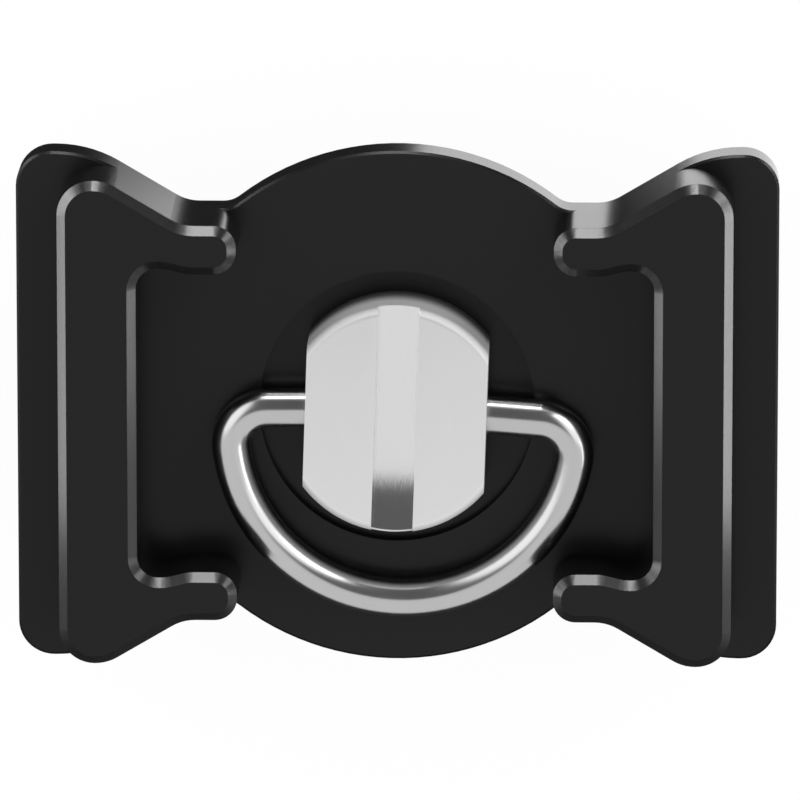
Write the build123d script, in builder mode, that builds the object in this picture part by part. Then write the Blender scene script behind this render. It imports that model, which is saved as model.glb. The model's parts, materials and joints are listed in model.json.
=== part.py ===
"""Tripod quick release plate with a captive camera screw and a folding D-ring.

Origin: on the screw axis, in the face that meets the camera. +Z points to the tripod side,
+X along the plate, across the two dovetail rails.
"""

import os
from math import asin, atan2, cos, degrees, hypot, pi, radians, sin, sqrt, tan

from build123d import *

# Flange: a bow-tie sheet with a round bulge in the middle
plate_width = 43.2
plate_depth = 29.25
plate_corner_radius = 2.0
flange_thickness = 2.6
flange_edge_break = 0.14
bulge_radius = 14.75
bulge_fillet = 1.5
waist_depth = 22.74
waist_width = 24.0
waist_least_flat = 1.5
waist_fillet = 2.6
shoulder_inset = 1.5
shoulder_fillet = 7.0

# Rails: two C-shaped dovetail rails with hooked ends
dovetail_width = 38.0
dovetail_undercut = 2.6
dovetail_angle = 45.0
rail_width = 4.43
rail_height = 5.4
rail_end_margin = 0.705
rail_corner_radius = 2.0
rail_shoulder_fillet = 2.5
rail_chamfer = 0.5
hook_clearance = 0.331
hook_tip_width = 2.78
hook_root_width = 2.46
hook_root_flat = 0.4
hook_rise_run = 1.3
hook_rise_fillet = 2.0
hook_tip_roundness = 0.46
pocket_fillet = 1.2

# Seat of the screw in the flange
counterbore_clearance = 1.275
counterbore_depth = 0.75
screw_hole_clearance = 0.175

# Grip pad, inlaid in the camera side
pad_margin = 1.4
pad_thickness = 1.2
pad_recess = 0.7
pad_clearance = 0.1
pad_window_diameter = 11.0

# Camera screw
thread_diameter = 6.35
thread_reach = 5.0
thread_tip_chamfer = 0.7
head_diameter = 13.1
head_across_flats = 10.24
head_proud = 3.88
head_rim_radius = 0.5
slot_width = 2.35
slot_depth = 1.3
slot_cutter_radius = 34.0
screw_turn = -1.9
screw_float = 0.5

# Retaining clip
clip_diameter = 9.2
clip_thickness = 0.6
clip_bow_width = 1.1
clip_lug_width = 1.5
clip_mouth_width = 5.4
clip_clearance = 0.05
groove_depth = 0.6

# D-ring, along the middle of its wire
ring_wire_diameter = 2.2
ring_axis_height = 1.35
ring_radius = 9.845
ring_arc_offset = 1.025
ring_bow_shift = 0.43
ring_bar_slope = 2.5
ring_corner_radius = 2.1
ring_bend_gap = 0.12
ring_bend_radius = 6.0
ring_rest_gap = 0.1
pivot_length = 2.4
pivot_clearance = 0.05

# How close to its arc a corner lies, the least straight run between two fillets,
# and the share of a short edge that its corner may take
corner_tolerance = 0.001
fillet_relief = 0.005
corner_share = 0.75

# Levels along the screw axis
plate_back_z = pad_thickness - pad_recess
flange_face_z = plate_back_z + flange_thickness
head_seat_z = flange_face_z - counterbore_depth
head_top_z = flange_face_z + head_proud
ring_axis_z = flange_face_z + ring_axis_height
clip_top_z = pad_thickness - screw_float
clip_bottom_z = clip_top_z - clip_thickness
groove_bottom_z = clip_bottom_z - clip_clearance

# Places across the plate, measured from its middle
wing_x = plate_width / 2
wing_y = plate_depth / 2
lip_x = dovetail_width / 2
wall_x = lip_x - rail_width
waist_y = waist_depth / 2
bulge_end_x = sqrt((bulge_radius + bulge_fillet) ** 2 - (waist_y + bulge_fillet) ** 2)
waist_x = max(waist_width / 2, bulge_end_x + waist_least_flat)
shoulder_x = lip_x - shoulder_inset
wing_angle = atan2(wing_y - waist_y, shoulder_x - waist_x)
wing_run = hypot(wing_y - waist_y, shoulder_x - waist_x)
waist_tangent = waist_fillet * tan(wing_angle / 2)
rail_y = wing_y - rail_end_margin
rail_shoulder_x = waist_x + (rail_y - waist_y) / tan(wing_angle)
dovetail_root_x = lip_x - dovetail_undercut
dovetail_rise = (wing_x - dovetail_root_x) / tan(radians(dovetail_angle))

# The hooks end clear of the circle that the ring sweeps as the screw turns
ring_wire_radius = ring_wire_diameter / 2
ring_sweep = ring_radius + ring_wire_radius + hypot(ring_bow_shift, ring_arc_offset)
hook_y = waist_y - hook_tip_width
hook_x = sqrt((ring_sweep + hook_clearance) ** 2 - hook_y**2)
hook_root_y = waist_y - hook_root_width
hook_rise_x = wall_x - pocket_fillet - hook_root_flat


def fitted_radius(radius, turn, room):
    """Radius of a fillet that turns by an angle and has this much straight run to use."""
    return min(radius, (room - fillet_relief) / tan(turn / 2))


# Fillets of the rails and the flange, no larger than their edges leave room for
rail_end = lip_x - rail_shoulder_x
rail_end_radius = fitted_radius(rail_corner_radius, pi / 2, corner_share * rail_end)
rail_shoulder_radius = fitted_radius(rail_shoulder_fillet, wing_angle, rail_end - rail_end_radius)
hook_inner_radius = hook_tip_roundness * hook_tip_width
hook_outer_radius = fitted_radius(hook_inner_radius, pi / 2, waist_x - hook_x - waist_tangent)
wing_end = wing_x - shoulder_x
wing_end_radius = fitted_radius(plate_corner_radius, pi / 2, corner_share * wing_end)
rail_shoulder_run = rail_end_margin / sin(wing_angle) + rail_shoulder_radius * tan(wing_angle / 2)
shoulder_room = min(wing_end - wing_end_radius, wing_run - waist_tangent, rail_shoulder_run)
shoulder_radius = fitted_radius(shoulder_fillet, wing_angle, shoulder_room)

# Round the screw axis
thread_radius = thread_diameter / 2
groove_radius = thread_radius - groove_depth

# The ring lies with its free end just above the flange
ring_reach = ring_radius + ring_arc_offset
ring_drop = ring_axis_height - ring_wire_radius - ring_rest_gap
ring_rest_angle = degrees(asin(ring_drop / ring_reach))

# The screw and its ring are turned together about the screw axis
screw_x_dir = (cos(radians(screw_turn)), sin(radians(screw_turn)), 0)
screw_y_dir = (-sin(radians(screw_turn)), cos(radians(screw_turn)), 0)
pivot_plane = Plane(origin=(0, 0, ring_axis_z), x_dir=screw_y_dir, z_dir=screw_x_dir)


def screw_plane(height):
    return Plane(origin=(0, 0, height), x_dir=screw_x_dir, z_dir=(0, 0, 1))


# Outline of the flange, shared by the plate, its rails and the pad
with BuildSketch() as flange_outline:
    with BuildLine():
        FilletPolyline(
            (0, waist_y),
            (waist_x, waist_y),
            (shoulder_x, wing_y),
            (wing_x, wing_y),
            (wing_x, 0),
            radius=[waist_fillet, shoulder_radius, wing_end_radius],
        )
        mirror(about=Plane.YZ)
        mirror(about=Plane.XZ)
    make_face()
    Circle(bulge_radius)
    bulge_ends = flange_outline.vertices().filter_by(
        lambda corner: abs(hypot(corner.X, corner.Y) - bulge_radius) < corner_tolerance
    )
    fillet(bulge_ends, radius=bulge_fillet)

# Outline of both rails, flush with the flange at the waist
with BuildSketch() as rail_outline:
    with BuildLine():
        FilletPolyline(
            (wall_x, 0),
            (wall_x, hook_root_y),
            (hook_rise_x, hook_root_y),
            (hook_rise_x - hook_rise_run, hook_y),
            (hook_x, hook_y),
            (hook_x, waist_y),
            (waist_x, waist_y),
            (rail_shoulder_x, rail_y),
            (lip_x, rail_y),
            (lip_x, 0),
            radius=[
                pocket_fillet,
                hook_rise_fillet,
                hook_rise_fillet,
                hook_inner_radius,
                hook_outer_radius,
                waist_fillet,
                rail_shoulder_radius,
                rail_end_radius,
            ],
        )
        mirror(about=Plane.XZ)
    make_face()
    mirror(about=Plane.YZ)

# Plate: flange, rails, dovetail, pad recess and screw seat in one piece
with BuildPart() as plate_body:
    with BuildSketch(Plane.XY.offset(plate_back_z)):
        add(flange_outline.sketch)
    extrude(amount=flange_thickness)
    flange_faces = plate_body.faces().filter_by(Axis.Z)
    chamfer(flange_faces.edges(), length=flange_edge_break)

    with BuildSketch(Plane.XY.offset(flange_face_z - flange_edge_break)):
        add(rail_outline.sketch)
    extrude(amount=rail_height + flange_edge_break)
    rail_tops = plate_body.faces().filter_by(Axis.Z).group_by(Axis.Z)[-1]
    chamfer(rail_tops.edges(), length=rail_chamfer)

    with BuildSketch(Plane.XZ):
        with BuildLine():
            Polyline(
                (dovetail_root_x, flange_face_z),
                (wing_x, flange_face_z),
                (wing_x, flange_face_z + dovetail_rise),
                close=True,
            )
        make_face()
        mirror(about=Plane.YZ)
    extrude(amount=plate_depth, both=True, mode=Mode.SUBTRACT)

    with BuildSketch(Plane.XY.offset(plate_back_z)):
        add(flange_outline.sketch)
        offset(amount=-pad_margin)
    extrude(amount=pad_recess, mode=Mode.SUBTRACT)

    with Locations((0, 0, flange_face_z)):
        CounterBoreHole(
            radius=thread_radius + screw_hole_clearance,
            counter_bore_radius=head_diameter / 2 + counterbore_clearance,
            counter_bore_depth=counterbore_depth,
        )
plate_body.part.label = "plate_body"

# Grip pad, standing proud of the plate's camera side
with BuildPart() as grip_pad:
    with BuildSketch():
        add(flange_outline.sketch)
        offset(amount=-pad_margin - pad_clearance)
        Circle(pad_window_diameter / 2, mode=Mode.SUBTRACT)
    extrude(amount=pad_thickness)
grip_pad.part.label = "grip_pad"

# Camera screw: head with a rounded rim, two flats and a slot from a round cutter, then shank,
# clip groove and thread
with BuildPart() as camera_screw:
    with BuildSketch(screw_plane(head_seat_z)):
        Circle(head_diameter / 2)
    extrude(amount=head_top_z - head_seat_z)
    head_top = camera_screw.faces().sort_by(Axis.Z)[-1]
    fillet(head_top.edges(), radius=head_rim_radius)

    with BuildSketch(screw_plane(head_seat_z)):
        Rectangle(head_across_flats, head_diameter)
    extrude(amount=head_top_z - head_seat_z, mode=Mode.INTERSECT)

    with BuildSketch(Plane(origin=(0, 0, head_top_z), x_dir=screw_y_dir, z_dir=screw_x_dir)):
        with Locations((0, slot_cutter_radius - slot_depth)):
            Circle(slot_cutter_radius)
    extrude(amount=slot_width / 2, both=True, mode=Mode.SUBTRACT)

    with BuildSketch(Plane.XY.offset(head_seat_z)):
        Circle(thread_radius)
    extrude(amount=-head_seat_z - thread_reach)
    thread_tip = camera_screw.faces().sort_by(Axis.Z)[0]
    chamfer(thread_tip.edges(), length=thread_tip_chamfer)

    with BuildSketch(Plane.XY.offset(groove_bottom_z)):
        Circle(thread_diameter)
        Circle(groove_radius, mode=Mode.SUBTRACT)
    extrude(amount=clip_thickness + 2 * clip_clearance, mode=Mode.SUBTRACT)

    for side in (1, -1):
        with BuildSketch(pivot_plane.offset(side * head_across_flats / 2)):
            Circle(ring_wire_radius + pivot_clearance)
        extrude(amount=-side * (pivot_length + pivot_clearance), mode=Mode.SUBTRACT)
camera_screw.part.label = "camera_screw"

# Retaining clip: an E-clip with three lugs in the screw's groove
clip_bow_radius = clip_diameter / 2 - clip_bow_width
with BuildPart() as retaining_clip:
    with BuildSketch(Plane.XY.offset(clip_bottom_z)):
        Circle(clip_diameter / 2)
        Circle(clip_bow_radius, mode=Mode.SUBTRACT)
        with Locations((0, -clip_diameter / 2)):
            Rectangle(clip_mouth_width, clip_diameter, mode=Mode.SUBTRACT)
        with PolarLocations(0, 3, start_angle=0, angular_range=180, endpoint=True):
            Rectangle(clip_bow_radius + clip_bow_width / 2, clip_lug_width, align=(Align.MIN, Align.CENTER))
        Circle(groove_radius + clip_clearance, mode=Mode.SUBTRACT)
    extrude(amount=clip_thickness)
retaining_clip.part.label = "retaining_clip"

# D-ring: a round wire bent to a D, lying towards -Y, with its ends in the holes of the head
ring_plane = Plane(
    origin=(0, 0, ring_axis_z),
    x_dir=screw_x_dir,
    z_dir=Vector(0, 0, 1).rotate(Axis((0, 0, 0), screw_x_dir), ring_rest_angle),
)
pivot_end_x = head_across_flats / 2 - pivot_length
bar_start_x = head_across_flats / 2 + ring_bend_gap
bow_centre = Vector(ring_bow_shift, -ring_arc_offset)


def bend_point(side, turn):
    """Point on the small bend where the wire leaves the head."""
    along = bar_start_x + ring_bend_radius * sin(turn)
    return Vector(side * along, ring_bend_radius * (cos(turn) - 1))


def ring_corner(side):
    """Middle and end of the bend at the head, end of the straight bar, middle of the corner
    and start of the bow, on one side of the ring, in the ring's own plane."""
    slope = radians(ring_bar_slope)
    outward = Vector(side * cos(slope), -sin(slope))
    inward = Vector(-side * sin(slope), -cos(slope))
    bend_middle = bend_point(side, slope / 2)
    bar_start = bend_point(side, slope)
    start_arm = bar_start + inward * ring_corner_radius - bow_centre
    arm_along = start_arm.dot(outward)
    centre_distance = ring_radius - ring_corner_radius
    run = sqrt(arm_along**2 + centre_distance**2 - start_arm.length**2) - arm_along
    bar_end = bar_start + outward * run
    corner_centre = bar_end + inward * ring_corner_radius
    bow_start = bow_centre + (corner_centre - bow_centre).normalized() * ring_radius
    halfway = (bar_end + bow_start) * 0.5 - corner_centre
    corner_middle = corner_centre + halfway.normalized() * ring_corner_radius
    return [tuple(point) for point in (bend_middle, bar_start, bar_end, corner_middle, bow_start)]


with BuildPart() as d_ring:
    with BuildLine(ring_plane):
        for side in (1, -1):
            bend_middle, bar_start, bar_end, corner_middle, bow_start = ring_corner(side)
            Line((side * pivot_end_x, 0), (side * bar_start_x, 0))
            ThreePointArc((side * bar_start_x, 0), bend_middle, bar_start)
            Line(bar_start, bar_end)
            ThreePointArc(bar_end, corner_middle, bow_start)
        ThreePointArc(ring_corner(1)[-1], (ring_bow_shift, -ring_reach), ring_corner(-1)[-1])
    with BuildSketch(pivot_plane.offset(pivot_end_x)):
        Circle(ring_wire_radius)
    sweep()
d_ring.part.label = "d_ring"

os.makedirs("parts", exist_ok=True)
for piece in (plate_body, grip_pad, camera_screw, retaining_clip, d_ring):
    export_step(piece.part, f"parts/{piece.part.label}.step")
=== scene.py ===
import json
from math import ceil, cos, pi, radians, sin, tan, tau

import bpy
from mathutils import Matrix, Vector

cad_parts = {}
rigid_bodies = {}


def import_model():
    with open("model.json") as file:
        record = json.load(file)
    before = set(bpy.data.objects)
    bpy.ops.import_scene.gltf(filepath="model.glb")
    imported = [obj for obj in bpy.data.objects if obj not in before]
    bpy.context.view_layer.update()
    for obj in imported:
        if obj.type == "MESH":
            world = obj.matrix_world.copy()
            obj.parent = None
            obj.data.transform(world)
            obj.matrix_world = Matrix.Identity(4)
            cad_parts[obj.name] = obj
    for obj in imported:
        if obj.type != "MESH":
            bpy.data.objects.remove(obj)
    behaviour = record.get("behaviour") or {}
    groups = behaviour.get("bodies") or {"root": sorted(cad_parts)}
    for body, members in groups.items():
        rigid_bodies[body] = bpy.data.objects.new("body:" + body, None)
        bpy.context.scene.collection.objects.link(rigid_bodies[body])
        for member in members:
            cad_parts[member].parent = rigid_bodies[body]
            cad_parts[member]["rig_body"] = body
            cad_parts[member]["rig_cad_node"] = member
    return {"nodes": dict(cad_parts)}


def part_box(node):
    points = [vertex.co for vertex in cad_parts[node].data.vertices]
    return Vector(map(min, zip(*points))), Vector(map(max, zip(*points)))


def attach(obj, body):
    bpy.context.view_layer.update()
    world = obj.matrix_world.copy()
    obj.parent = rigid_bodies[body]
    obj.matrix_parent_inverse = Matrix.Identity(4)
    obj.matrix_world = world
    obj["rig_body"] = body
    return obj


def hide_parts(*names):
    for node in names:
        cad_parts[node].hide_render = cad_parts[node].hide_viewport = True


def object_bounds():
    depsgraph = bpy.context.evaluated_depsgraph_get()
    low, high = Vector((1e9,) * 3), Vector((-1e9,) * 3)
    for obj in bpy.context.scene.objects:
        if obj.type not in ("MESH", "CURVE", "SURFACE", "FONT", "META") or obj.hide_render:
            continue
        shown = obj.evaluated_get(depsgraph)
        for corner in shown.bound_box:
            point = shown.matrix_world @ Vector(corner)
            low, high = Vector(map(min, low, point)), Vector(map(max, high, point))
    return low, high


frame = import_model()
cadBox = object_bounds()
mm = 0.001
mergeWithin = 0.0005 * mm
noiseMiddle = 0.5
print("frame loaded:", ", ".join(sorted(frame["nodes"])))


# shader maths: a socket that adds Math nodes when it is used in an expression
class Wire:
    def __init__(self, tree, socket=None):
        self.tree = tree
        self.socket = socket

    def node(self, kind, settings=None, sockets=None, out=0):
        made = self.tree.nodes.new(kind)
        for name, value in (settings or {}).items():
            setattr(made, name, value)
        for name, value in (sockets or {}).items():
            if isinstance(value, Wire):
                self.tree.links.new(value.socket, made.inputs[name])
            else:
                made.inputs[name].default_value = value
        return Wire(self.tree, made.outputs[out] if made.outputs else None)

    def output(self, name):
        return Wire(self.tree, self.socket.node.outputs[name])

    def math(self, operation, first, second=0.0):
        return self.node("ShaderNodeMath", {"operation": operation}, {0: first, 1: second})

    def step(self, low, high):
        limits = {"From Min": low, "From Max": high, "Value": self}
        return self.node("ShaderNodeMapRange", {"interpolation_type": "SMOOTHSTEP"}, limits)

    def __add__(self, other):
        return self.math("ADD", self, other)

    def __radd__(self, other):
        return self.math("ADD", other, self)

    def __sub__(self, other):
        return self.math("SUBTRACT", self, other)

    def __rsub__(self, other):
        return self.math("SUBTRACT", other, self)

    def __mul__(self, other):
        return self.math("MULTIPLY", self, other)

    def __rmul__(self, other):
        return self.math("MULTIPLY", other, self)

    def __abs__(self):
        return self.math("ABSOLUTE", self)


def newFinish(name):
    finish = bpy.data.materials.new(name)
    finish.use_nodes = True
    finish.node_tree.nodes.clear()
    tree = Wire(finish.node_tree)
    return finish, tree, tree.node("ShaderNodeTexCoord", out="Object")


def closeFinish(tree, shader):
    tree.node("ShaderNodeOutputMaterial", sockets={"Surface": shader})


def noise(tree, place, grain, detail=2.0):
    # grain: size of one speck in metres
    sockets = {"Vector": place, "Scale": 1 / grain, "Detail": detail}
    return tree.node("ShaderNodeTexNoise", sockets=sockets)


def blend(tree, share, first, second):
    settings = {"data_type": "RGBA"}
    sockets = {0: share, 6: first, 7: second}
    return tree.node("ShaderNodeMix", settings, sockets, out=2)


def between(first, second, share):
    # a value from first, where the share is 0, to second, where it is 1
    return first + (second - first) * share


def grey(level):
    return (level, level, level, 1.0)


# black satin anodising with a fine blasted grain, glossier on the rails' cut edges
anodise = {
    "dark": (0.0045, 0.0046, 0.0050, 1.0),
    "light": (0.0075, 0.0076, 0.0080, 1.0),
    "grain": 0.10 * mm,
    "grainShare": 0.6,
    "grainRelief": 0.02 * mm,
    "cloud": 6.0 * mm,
    "cloudDetail": 3.0,
    "roughness": 0.24,
    "roughnessSpread": 0.05,
    "specular": 0.19,
    "bump": 0.05,
    "railEdge": 0.5 * mm,
    "edgeBlur": 0.02 * mm,
    "edgeGloss": 1.0,
    "edgeRoughness": 0.22,
}


def anodisedFinish():
    finish, tree, place = newFinish("blackAnodising")
    speck = noise(tree, place, anodise["grain"])
    cloud = noise(tree, place, anodise["cloud"], anodise["cloudDetail"])
    share = between(cloud, speck, anodise["grainShare"])
    colour = blend(tree, share, anodise["dark"], anodise["light"])
    uneven = (cloud - noiseMiddle) + (speck - noiseMiddle)
    roughness = anodise["roughness"] + anodise["roughnessSpread"] * uneven
    height = tree.node("ShaderNodeSeparateXYZ", sockets={"Vector": place}, out="Z")
    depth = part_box("plate_body")[1].z - height
    blur = anodise["edgeBlur"]
    onEdge = depth.step(0, blur) * (anodise["railEdge"] - depth).step(0, blur)
    relief = tree.node(
        "ShaderNodeBump",
        sockets={
            "Strength": anodise["bump"],
            "Distance": anodise["grainRelief"],
            "Height": speck,
        },
    )
    shader = tree.node(
        "ShaderNodeBsdfPrincipled",
        sockets={
            "Base Color": colour,
            "Roughness": roughness,
            "Specular IOR Level": anodise["specular"],
            "Coat Weight": anodise["edgeGloss"] * onEdge,
            "Coat Roughness": anodise["edgeRoughness"],
            "Normal": relief,
        },
    )
    closeFinish(tree, shader)
    return finish


# turned steel of the screw: a satin face, a coarser wall with shade painted darker towards its
# foot, and a slot brushed along its length, its floor painted a little darker as shade
turnedSteel = {
    "dark": grey(0.70),
    "light": grey(0.74),
    "toolMark": 0.08 * mm,
    "toolMarkDetail": 1.0,
    "roughness": 0.42,
    "roughnessSpread": 0.05,
    "headFrom": (4.5 * mm, 4.7 * mm),
    "wallRoughness": 0.74,
    "wallTop": (0.004 * mm, 0.05 * mm),
    # depths and share of the shade painted on the head's wall towards its foot
    "foot": (1.6 * mm, 3.9 * mm),
    "footPaintedShade": 0.88,
    "slotTurn": -1.9,
    "slotReach": (1.22 * mm, 6.5 * mm),
    "slotDepth": 1.6 * mm,
    "slotEdge": 0.05 * mm,
    "slotRoughness": 0.09,
    "streak": (0.06 * mm, 1.4 * mm),
    "streakSpread": 0.06,
    "streakRelief": 0.007 * mm,
    # share of shade painted on the slot's floor
    "slotPaintedShade": 0.04,
}


def turnedFinish():
    finish, tree, place = newFinish("turnedSteel")
    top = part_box("camera_screw")[1].z
    parts = tree.node("ShaderNodeSeparateXYZ", sockets={"Vector": place})
    x, y, z = parts.output("X"), parts.output("Y"), parts.output("Z")
    radius = tree.math("SQRT", x * x + y * y)
    ringPlace = tree.node("ShaderNodeCombineXYZ", sockets={"X": radius, "Y": z})
    mark = noise(tree, ringPlace, turnedSteel["toolMark"], turnedSteel["toolMarkDetail"])
    edge = turnedSteel["slotEdge"]
    halfWidth, reach = turnedSteel["slotReach"]
    depth = top - z
    inSlot = depth.step(edge, 2 * edge) * (turnedSteel["slotDepth"] - depth).step(0, edge)
    turn = radians(turnedSteel["slotTurn"])
    across = x * cos(turn) + y * sin(turn)
    along = y * cos(turn) - x * sin(turn)
    inSlot = inSlot * (halfWidth - abs(across)).step(0, edge) * (reach - radius).step(0, edge)
    fine, long = turnedSteel["streak"]
    streakPlace = tree.node(
        "ShaderNodeCombineXYZ",
        sockets={"X": across * (long / fine), "Y": along},
    )
    streak = noise(tree, streakPlace, long)
    grain = between(mark, streak, inSlot)
    bright = blend(tree, grain, turnedSteel["dark"], turnedSteel["light"])
    onHead = radius.step(*turnedSteel["headFrom"])
    # painted shade: the head's wall is painted darker towards its foot, next to the plate
    footPaintedShade = turnedSteel["footPaintedShade"] * onHead * depth.step(*turnedSteel["foot"])
    # painted shade: the slot's floor is painted a little darker too
    paintedShadeFactor = (1 - footPaintedShade) * (1 - turnedSteel["slotPaintedShade"] * inSlot)
    colour = blend(tree, paintedShadeFactor, grey(0.0), bright)
    onWall = onHead * depth.step(*turnedSteel["wallTop"])
    turned = between(turnedSteel["roughness"], turnedSteel["wallRoughness"], onWall)
    turned = turned + turnedSteel["roughnessSpread"] * (mark - noiseMiddle)
    brushed = turnedSteel["slotRoughness"] + turnedSteel["streakSpread"] * (streak - noiseMiddle)
    relief = tree.node(
        "ShaderNodeBump",
        sockets={"Distance": turnedSteel["streakRelief"], "Height": streak * inSlot},
    )
    shader = tree.node(
        "ShaderNodeBsdfPrincipled",
        sockets={
            "Base Color": colour,
            "Roughness": between(turned, brushed, inSlot),
            "Metallic": 1.0,
            "Normal": relief,
        },
    )
    closeFinish(tree, shader)
    return finish


# polished bent wire
polishedSteel = {
    "dark": grey(0.48),
    "light": grey(0.52),
    "cloud": 2.5 * mm,
    "cloudDetail": 3.0,
    "roughness": 0.21,
    "roughnessSpread": 0.06,
}


def polishedFinish():
    finish, tree, place = newFinish("polishedSteel")
    cloud = noise(tree, place, polishedSteel["cloud"], polishedSteel["cloudDetail"])
    colour = blend(tree, cloud, polishedSteel["dark"], polishedSteel["light"])
    spread = polishedSteel["roughnessSpread"]
    roughness = polishedSteel["roughness"] + spread * (cloud - noiseMiddle)
    shader = tree.node(
        "ShaderNodeBsdfPrincipled",
        sockets={"Base Color": colour, "Roughness": roughness, "Metallic": 1.0},
    )
    closeFinish(tree, shader)
    return finish


# dark oiled spring steel of the clip
springSteel = {
    "dark": (0.15, 0.15, 0.155, 1.0),
    "light": (0.24, 0.235, 0.23, 1.0),
    "cloud": 0.9 * mm,
    "cloudDetail": 4.0,
    "roughness": 0.36,
}


def springFinish():
    finish, tree, place = newFinish("springSteel")
    cloud = noise(tree, place, springSteel["cloud"], springSteel["cloudDetail"])
    colour = blend(tree, cloud, springSteel["dark"], springSteel["light"])
    shader = tree.node(
        "ShaderNodeBsdfPrincipled",
        sockets={"Base Color": colour, "Roughness": springSteel["roughness"], "Metallic": 1.0},
    )
    closeFinish(tree, shader)
    return finish


# matte rubber of the pad, with a moulded grain
rubber = {
    "dark": (0.016, 0.016, 0.016, 1.0),
    "light": (0.030, 0.030, 0.029, 1.0),
    "grain": 0.12 * mm,
    "grainShare": 0.5,
    "grainRelief": 0.03 * mm,
    "cloud": 3.0 * mm,
    "cloudDetail": 3.0,
    "roughness": 0.82,
    "specular": 0.3,
    "bump": 0.25,
}


def rubberFinish():
    finish, tree, place = newFinish("padRubber")
    speck = noise(tree, place, rubber["grain"])
    cloud = noise(tree, place, rubber["cloud"], rubber["cloudDetail"])
    share = between(cloud, speck, rubber["grainShare"])
    colour = blend(tree, share, rubber["dark"], rubber["light"])
    relief = tree.node(
        "ShaderNodeBump",
        sockets={
            "Strength": rubber["bump"],
            "Distance": rubber["grainRelief"],
            "Height": speck,
        },
    )
    shader = tree.node(
        "ShaderNodeBsdfPrincipled",
        sockets={
            "Base Color": colour,
            "Roughness": rubber["roughness"],
            "Specular IOR Level": rubber["specular"],
            "Normal": relief,
        },
    )
    closeFinish(tree, shader)
    return finish


def wear(piece, finish):
    piece.data.materials.clear()
    piece.data.materials.append(finish)


# modelling helpers
def deselectAll():
    bpy.ops.object.select_all(action="DESELECT")


def selectOnly(piece):
    deselectAll()
    piece.select_set(True)
    bpy.context.view_layer.objects.active = piece


def editAll(piece):
    selectOnly(piece)
    bpy.ops.object.mode_set(mode="EDIT")
    bpy.ops.mesh.select_all(action="SELECT")


def leaveEdit():
    bpy.ops.object.mode_set(mode="OBJECT")


def copyNode(nodeName, name):
    # a free copy of a CAD node, its triangles joined at their corners
    selectOnly(frame["nodes"][nodeName])
    bpy.ops.object.duplicate()
    piece = bpy.context.object
    piece.name = name
    piece.data.name = name
    bpy.ops.object.parent_clear(type="CLEAR_KEEP_TRANSFORM")
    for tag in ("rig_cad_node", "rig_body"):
        del piece[tag]
    bpy.ops.mesh.customdata_custom_splitnormals_clear()
    editAll(piece)
    bpy.ops.mesh.remove_doubles(threshold=mergeWithin)
    leaveEdit()
    return piece


def cutWith(piece, tool, operation):
    selectOnly(piece)
    bpy.ops.object.modifier_add(type="BOOLEAN")
    cut = piece.modifiers[-1]
    cut.operation = operation
    cut.solver = "EXACT"
    cut.object = tool
    bpy.ops.object.modifier_apply(modifier=cut.name)
    selectOnly(tool)
    bpy.ops.object.delete()


def finishMesh(piece, angle):
    editAll(piece)
    bpy.ops.mesh.remove_doubles(threshold=mergeWithin)
    bpy.ops.mesh.normals_make_consistent(inside=False)
    leaveEdit()
    bpy.ops.object.shade_smooth_by_angle(angle=radians(angle))


# camera screw: the head of the frame's screw on a right-hand 20 per inch thread
thread = {
    "name": "threadedScrew",
    "pitch": 1.27 * mm,
    "majorRadius": 3.15 * mm,
    "depth": 0.75 * mm,
    "crest": 0.16 * mm,
    "flankAngle": 30.0,
    "steps": 72,
    "spareTurns": 1,
    "clipPlay": 0.05 * mm,
    "collar": 0.35 * mm,
    "collarOverlap": 0.6,
    "blankSpare": 0.1 * mm,
    "tipChamfer": 0.8 * mm,
    "tipReach": 0.01 * mm,
    "sharpAngle": 32.0,
}


def threadRod(low, high):
    # one pitch of the profile, drawn upwards from the root, then screwed round the axis
    flank = thread["depth"] * tan(radians(thread["flankAngle"]))
    root = thread["pitch"] - thread["crest"] - 2 * flank
    start = low - thread["spareTurns"] * thread["pitch"]
    turns = ceil((high - low) / thread["pitch"]) + thread["spareTurns"] + 1
    deselectAll()
    bpy.ops.mesh.primitive_plane_add(size=mm, location=(0, 0, 0))
    rod = bpy.context.object
    editAll(rod)
    bpy.ops.mesh.merge(type="CENTER")
    bpy.ops.transform.translate(value=(thread["majorRadius"] - thread["depth"], 0, start))
    profile = (
        (0, root),
        (thread["depth"], flank),
        (0, thread["crest"]),
        (-thread["depth"], flank),
    )
    for out, up in profile:
        bpy.ops.mesh.extrude_region_move(TRANSFORM_OT_translate={"value": (out, 0, up)})
    leaveEdit()
    bpy.ops.object.modifier_add(type="SCREW")
    sweep = rod.modifiers[-1]
    sweep.axis = "Z"
    sweep.angle = tau
    sweep.screw_offset = thread["pitch"]
    sweep.iterations = turns
    sweep.steps = sweep.render_steps = thread["steps"]
    bpy.ops.object.modifier_apply(modifier=sweep.name)
    editAll(rod)
    bpy.ops.mesh.remove_doubles(threshold=mergeWithin)
    for level, up in ((high + thread["blankSpare"], 1), (low - thread["blankSpare"], -1)):
        bpy.ops.mesh.select_all(action="SELECT")
        bpy.ops.mesh.bisect(
            plane_co=(0, 0, level), plane_no=(0, 0, up), use_fill=True, clear_outer=True
        )
    bpy.ops.mesh.select_all(action="SELECT")
    bpy.ops.mesh.normals_make_consistent(inside=False)
    leaveEdit()
    return rod


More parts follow.
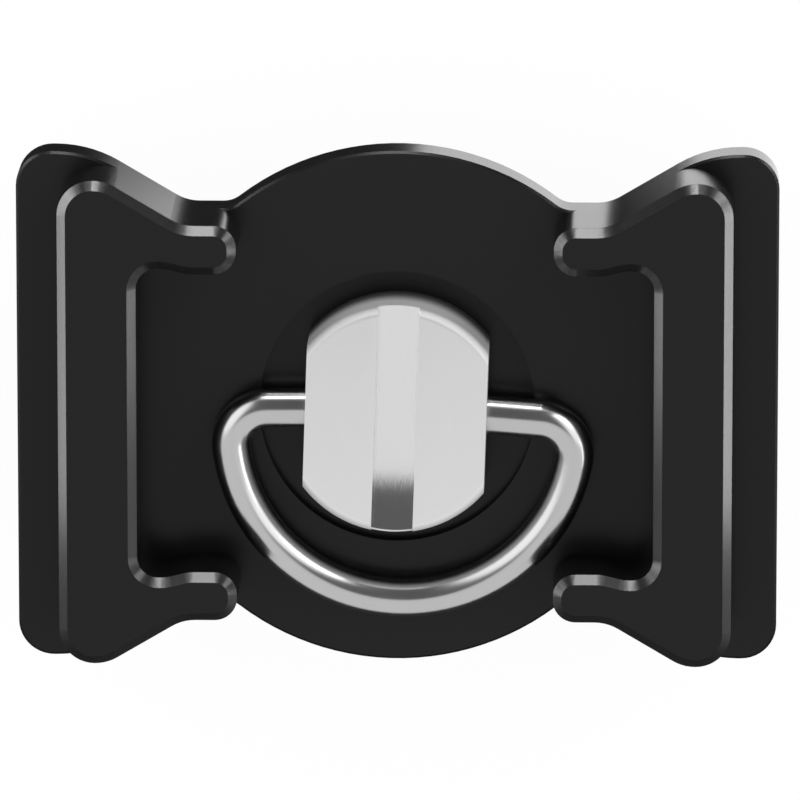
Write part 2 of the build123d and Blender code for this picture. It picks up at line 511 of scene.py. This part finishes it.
def threadBlank(low, high):
    # bar with a chamfered tip that trims the thread
    deselectAll()
    bpy.ops.mesh.primitive_cylinder_add(
        vertices=thread["steps"],
        radius=thread["majorRadius"] + thread["blankSpare"],
        depth=high - low,
        location=(0, 0, (low + high) / 2),
    )
    blank = bpy.context.object
    bpy.ops.object.transform_apply(location=True, rotation=True, scale=True)
    corners = blank.data.vertices
    tipTop = low + thread["tipReach"]
    tipEdges = [
        edge.index for edge in blank.data.edges
        if all(corners[end].co.z < tipTop for end in edge.vertices)
    ]
    editAll(blank)
    bpy.ops.mesh.select_mode(type="EDGE")
    bpy.ops.mesh.select_all(action="DESELECT")
    leaveEdit()
    for index in tipEdges:
        blank.data.edges[index].select = True
    bpy.ops.object.mode_set(mode="EDIT")
    bpy.ops.mesh.bevel(offset=thread["tipChamfer"], offset_type="OFFSET", segments=1)
    leaveEdit()
    return blank


def makeScrew(finish):
    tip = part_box("camera_screw")[0].z
    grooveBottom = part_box("retaining_clip")[0].z - thread["clipPlay"]
    collarBottom = grooveBottom - thread["collar"]
    threadTop = collarBottom + thread["collarOverlap"] * thread["collar"]
    screw = copyNode("camera_screw", thread["name"])
    editAll(screw)
    bpy.ops.mesh.bisect(
        plane_co=(0, 0, collarBottom), plane_no=(0, 0, -1), use_fill=True, clear_outer=True
    )
    leaveEdit()
    rod = threadRod(tip, grooveBottom)
    cutWith(rod, threadBlank(tip, threadTop), "INTERSECT")
    cutWith(screw, rod, "UNION")
    finishMesh(screw, thread["sharpAngle"])
    wear(screw, finish)
    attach(screw, "screw")
    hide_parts("camera_screw")
    print("screw threaded:", len(screw.data.polygons), "faces")


# grip pad: the frame's pad with moulded grooves across its outer face
pad = {
    "name": "ribbedPad",
    "ribPitch": 1.2 * mm,
    "grooveWidth": 0.5 * mm,
    "grooveDepth": 0.4 * mm,
    "grooveBevel": 0.12 * mm,
    "bevelSteps": 2,
    "rim": 1.2 * mm,
    "sharpAngle": 30.0,
}


def makePad(finish):
    low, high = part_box("grip_pad")
    piece = copyNode("grip_pad", pad["name"])
    half = (high.x - low.x) / 2 - pad["rim"] - pad["grooveWidth"] / 2
    count = int(2 * half / pad["ribPitch"]) + 1
    firstGroove = -(count - 1) / 2 * pad["ribPitch"]
    deselectAll()
    bpy.ops.mesh.primitive_cube_add(size=1, location=(firstGroove, 0, low.z))
    groove = bpy.context.object
    groove.scale = (pad["grooveWidth"], high.y - low.y + pad["rim"], 2 * pad["grooveDepth"])
    bpy.ops.object.transform_apply(location=True, rotation=True, scale=True)
    editAll(groove)
    bpy.ops.mesh.bevel(
        offset=pad["grooveBevel"], offset_type="OFFSET", segments=pad["bevelSteps"]
    )
    leaveEdit()
    bpy.ops.object.modifier_add(type="ARRAY")
    row = groove.modifiers[-1]
    row.count = count
    row.use_relative_offset = False
    row.use_constant_offset = True
    row.constant_offset_displace = (pad["ribPitch"], 0, 0)
    bpy.ops.object.modifier_apply(modifier=row.name)
    cutWith(piece, groove, "DIFFERENCE")
    finishMesh(piece, pad["sharpAngle"])
    wear(piece, finish)
    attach(piece, "plate")
    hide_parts("grip_pad")
    print("pad ribbed:", count, "grooves,", len(piece.data.polygons), "faces")


# camera: on the side of the rails, leaning a little to the rear and to the right
camera = {
    "lean": 12.3,
    "sway": 1.6,
    "distance": 600.0 * mm,
    "lens": 475.6,
    "sensor": 36.0,
    "aimHeight": 3.1 * mm,
    "slide": (0.159 * mm, 0.362 * mm),
    "clip": (60.0 * mm, 6000.0 * mm),
}


def viewAxes():
    lean, sway = radians(camera["lean"]), radians(camera["sway"])
    back = Vector((sin(sway) * cos(lean), sin(lean), cos(sway) * cos(lean))).normalized()
    right = Vector((0, 1, 0)).cross(back).normalized()
    return right, back.cross(right), back


def makeCamera():
    right, up, back = viewAxes()
    across, along = camera["slide"]
    aim = Vector((0, 0, camera["aimHeight"]))
    place = aim + camera["distance"] * back + across * right + along * up
    data = bpy.data.cameras.new("camera")
    data.lens = camera["lens"]
    data.sensor_width = camera["sensor"]
    data.clip_start, data.clip_end = camera["clip"]
    eye = bpy.data.objects.new("camera", data)
    bpy.context.scene.collection.objects.link(eye)
    turn = Matrix((right, up, back)).transposed().to_4x4()
    eye.matrix_world = Matrix.Translation(place) @ turn
    bpy.context.scene.camera = eye
    print("camera placed")


# white floor just under the screw's tip, left out of reflections and casting no shadow
floor = {
    "name": "floor",
    "width": 8.0,
    "gap": 0.2 * mm,
    "dark": grey(0.93),
    "light": grey(0.94),
    "glow": 0.95,
    "cloud": 40.0 * mm,
}


def makeFloor():
    finish, tree, place = newFinish("whiteFloor")
    cloud = noise(tree, place, floor["cloud"])
    colour = blend(tree, cloud, floor["dark"], floor["light"])
    matte = tree.node("ShaderNodeBsdfDiffuse", sockets={"Color": colour})
    glow = tree.node("ShaderNodeEmission", sockets={"Color": grey(1.0), "Strength": 1.0})
    seen = tree.node("ShaderNodeLightPath", out="Is Camera Ray")
    shader = tree.node(
        "ShaderNodeMixShader",
        sockets={0: floor["glow"] * seen, 1: matte, 2: glow},
    )
    closeFinish(tree, shader)
    deselectAll()
    level = cadBox[0].z - floor["gap"]
    bpy.ops.mesh.primitive_plane_add(size=floor["width"], location=(0, 0, level))
    sheet = bpy.context.object
    sheet.name = floor["name"]
    wear(sheet, finish)
    sheet.visible_glossy = False
    sheet.visible_shadow = False
    print("floor laid")


# light tent: white to the front, brighter to the rear sides and the rear horizon, dark on the
# sides' horizon and on a card above the rear, where the camera stands; the camera itself sees
# plain white past the floor's edge
tent = {
    "backdrop": 1.0,
    "front": 0.97,
    "card": 0.135,
    "cardEdge": (0.28, 0.44),
    "rearSide": 1.7,
    "rearHorizon": 1.3,
    "sideHorizon": 0.2,
    "horizonEdge": (0.2, 0.4),
    "below": 0.03,
    "rearFrom": (-0.04, 0.03),
    "horizonTop": (0.36, 0.46),
    "rearFoot": (-0.06, 0.03),
    "frontFoot": (-0.12, 0.04),
}


def lightTent():
    world = bpy.data.worlds.new("lightTent")
    world.use_nodes = True
    world.node_tree.nodes.clear()
    tree = Wire(world.node_tree)
    direction = tree.node("ShaderNodeTexCoord", out="Generated")
    parts = tree.node("ShaderNodeSeparateXYZ", sockets={"Vector": direction})
    x, y, z = parts.output("X"), parts.output("Y"), parts.output("Z")
    rear = y.step(*tent["rearFrom"])
    aside = abs(x)
    card = between(tent["card"], tent["rearSide"], aside.step(*tent["cardEdge"]))
    horizon = between(tent["rearHorizon"], tent["sideHorizon"], aside.step(*tent["horizonEdge"]))
    rearSky = between(horizon, card, z.step(*tent["horizonTop"]))
    sky = between(tent["front"], rearSky, rear)
    foot = between(z.step(*tent["frontFoot"]), z.step(*tent["rearFoot"]), rear)
    seen = tree.node("ShaderNodeLightPath", out="Is Camera Ray")
    level = between(between(tent["below"], sky, foot), tent["backdrop"], seen)
    glow = tree.node("ShaderNodeBackground", sockets={"Color": grey(1.0), "Strength": level})
    tree.node("ShaderNodeOutputWorld", sockets={"Surface": glow})
    bpy.context.scene.world = world


# lamps: a strip behind, a narrow strip past each end of the plate that stops short of its front,
# small panels at the rear corners, soft panels to the right and a low panel under the right half
lamps = {
    "rearStrip": {
        "place": (-0.017, 0.588, 0.120),
        "aim": (0, 0, 0),
        "size": (0.14, 0.055),
        "radiance": 17.0,
    },
    "rightStrip": {
        "place": (0.060, 0.0376, 0.0094),
        "aim": (0, 0.0376, 0.0094),
        "size": (0.105, 0.0034),
        "radiance": 12.8,
    },
    "leftStrip": {
        "place": (-0.060, 0.0376, 0.0105),
        "aim": (0, 0.0376, 0.0105),
        "size": (0.105, 0.0090),
        "radiance": 7.0,
    },
    "rightCorner": {
        "place": (0.235, 0.180, 0.051),
        "aim": (0, 0, 0),
        "size": (0.10, 0.06),
        "radiance": 3.8,
    },
    "leftCorner": {
        "place": (-0.243, 0.171, 0.039),
        "aim": (0, 0, 0),
        "size": (0.10, 0.06),
        "radiance": 2.0,
    },
    "rightRear": {
        "place": (0.38, 0.42, 0.38),
        "aim": (0, 0, 0),
        "size": (0.30, 0.30),
        "radiance": 2.0,
    },
    "rightPanel": {
        "place": (0.70, -0.08, 0.37),
        "aim": (0, 0, 0),
        "size": (0.35, 0.35),
        "radiance": 2.2,
    },
    "underPanel": {
        "place": (0.0615, 0.030, -0.100),
        "aim": (0.0615, 0.030, 0),
        "size": (0.12, 0.12),
        "radiance": 1.8,
    },
}


def hangLamp(name, place, aim, size, radiance):
    deselectAll()
    bpy.ops.object.light_add(type="AREA", location=place)
    lamp = bpy.context.object
    lamp.name = name
    lamp.data.shape = "RECTANGLE"
    lamp.data.size, lamp.data.size_y = size
    lamp.data.energy = radiance * size[0] * size[1] * pi
    lamp.rotation_mode = "QUATERNION"
    lamp.rotation_quaternion = (Vector(place) - Vector(aim)).to_track_quat("Z", "Y")
    lamp.visible_camera = False


makeCamera()
makeFloor()
lightTent()
for lampName, settings in lamps.items():
    hangLamp(lampName, **settings)
print("lights hung")

wear(frame["nodes"]["plate_body"], anodisedFinish())
wear(frame["nodes"]["d_ring"], polishedFinish())
wear(frame["nodes"]["retaining_clip"], springFinish())
print("plate, ring and clip finished")
makeScrew(turnedFinish())
makePad(rubberFinish())

bpy.context.scene.view_settings.view_transform = "Standard"
